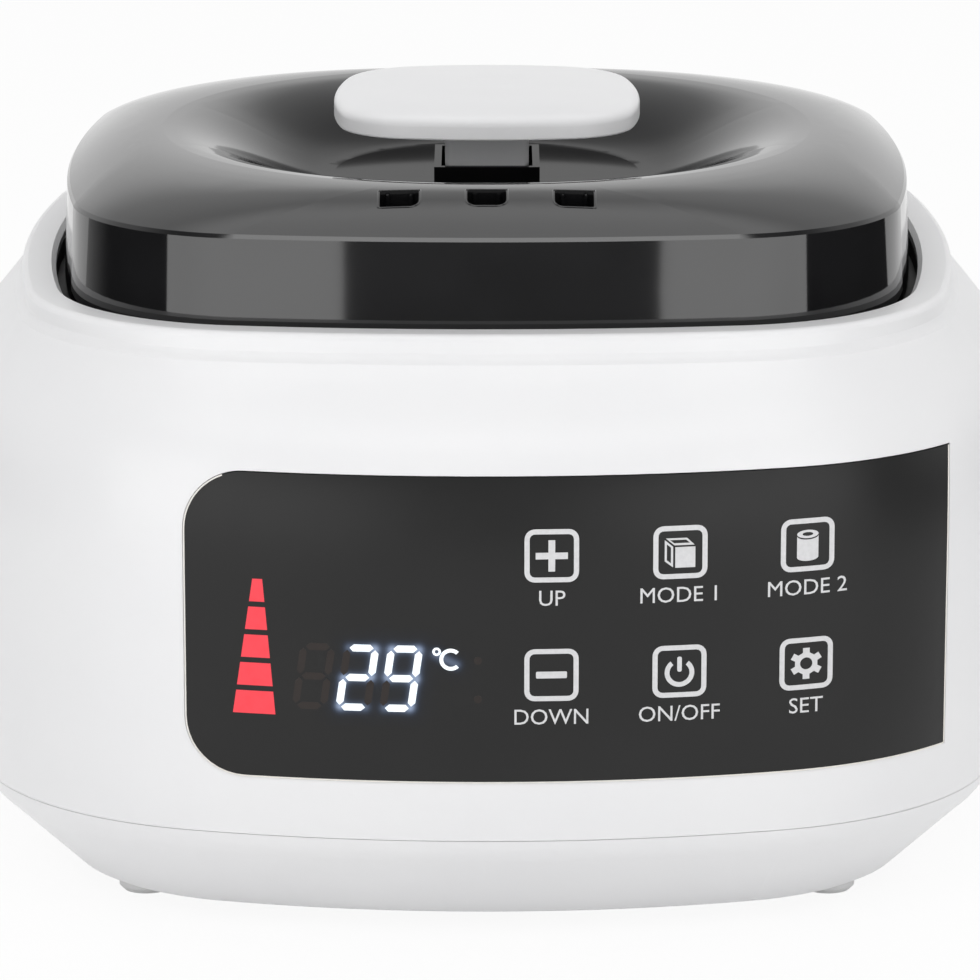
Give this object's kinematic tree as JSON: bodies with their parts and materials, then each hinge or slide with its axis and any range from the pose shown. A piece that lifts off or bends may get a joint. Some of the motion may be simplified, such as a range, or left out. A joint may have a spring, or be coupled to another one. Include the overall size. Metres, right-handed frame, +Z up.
{
  "type": "wax warmer pot",
  "caption": "Countertop wax warmer: white rounded-square housing with a wrapped dark control panel, lift-out metal pot and black lift-off lid with a white pillow handle",
  "frame": {"origin": "on the table, under the middle of the body", "axes": "+X to the right seen from the front, +Y to the back, so the control panel faces -Y, +Z up"},
  "size_m": [0.2136, 0.2138, 0.1467],
  "materials": {
    "white_shell": "satin moulded white",
    "black_gloss": "polished black",
    "dark_panel": "glossy dark grey overlay",
    "dark_plastic": "fine matte moulded",
    "clear_guide": "milky light guide",
    "pot_metal": "drawn, satin",
    "well_metal": "drawn, plain",
    "steel": "plain",
    "pin_metal": "bright",
    "rubber": "matte",
    "board": "coated laminate",
    "component": "plain",
    "terminal": "moulded",
    "insulation": "felted fibre",
    "lead_cover": "plain sheath"
  },
  "bodies": {
    "housing": {"upper_housing": "white_shell", "base_cover": "white_shell", "control_panel": "dark_panel", "rim_liner": "dark_plastic", "power_inlet": "dark_plastic", "relay": "dark_plastic", "led_display": "dark_plastic", "level_light_guide": "clear_guide", "heating_well": "well_metal", "heat_shield": "well_metal", "heater_band": "well_metal", "band_clamp_screw": "steel", "base_screw_1": "steel", "base_screw_2": "steel", "base_screw_3": "steel", "base_screw_4": "steel", "display_screw_1": "steel", "display_screw_2": "steel", "display_screw_3": "steel", "display_screw_4": "steel", "well_screw_1": "steel", "well_screw_2": "steel", "well_screw_3": "steel", "well_screw_4": "steel", "main_screw_1": "steel", "main_screw_2": "steel", "main_screw_3": "steel", "main_screw_4": "steel", "touch_spring_1": "steel", "touch_spring_2": "steel", "touch_spring_3": "steel", "touch_spring_4": "steel", "touch_spring_5": "steel", "touch_spring_6": "steel", "inlet_pin_1": "pin_metal", "inlet_pin_2": "pin_metal", "rubber_foot_1": "rubber", "rubber_foot_2": "rubber", "rubber_foot_3": "rubber", "rubber_foot_4": "rubber", "main_board": "board", "display_board": "board", "transformer": "component", "capacitor": "component", "thermistor": "component", "thermal_fuse": "component", "terminal_block": "terminal", "insulation_wrap": "insulation", "thermistor_lead": "lead_cover", "display_ribbon": "lead_cover", "inlet_lead_1": "lead_cover", "inlet_lead_2": "lead_cover", "heater_lead_1": "lead_cover", "heater_lead_2": "lead_cover"},
    "pot": {"wax_pot": "pot_metal"},
    "lid": {"lid_shell": "black_gloss", "lid_handle": "white_shell", "lid_handle_screw": "steel"}
  },
  "joints": [
    {"name": "pot_lift", "type": "slide", "parent": "housing", "child": "pot", "axis": [0, 0, 1], "range_m": [0, 0.12]},
    {"name": "lid_lift", "type": "slide", "parent": "pot", "child": "lid", "axis": [0, 0, 1], "range_m": [0, 0.1]}
  ]
}
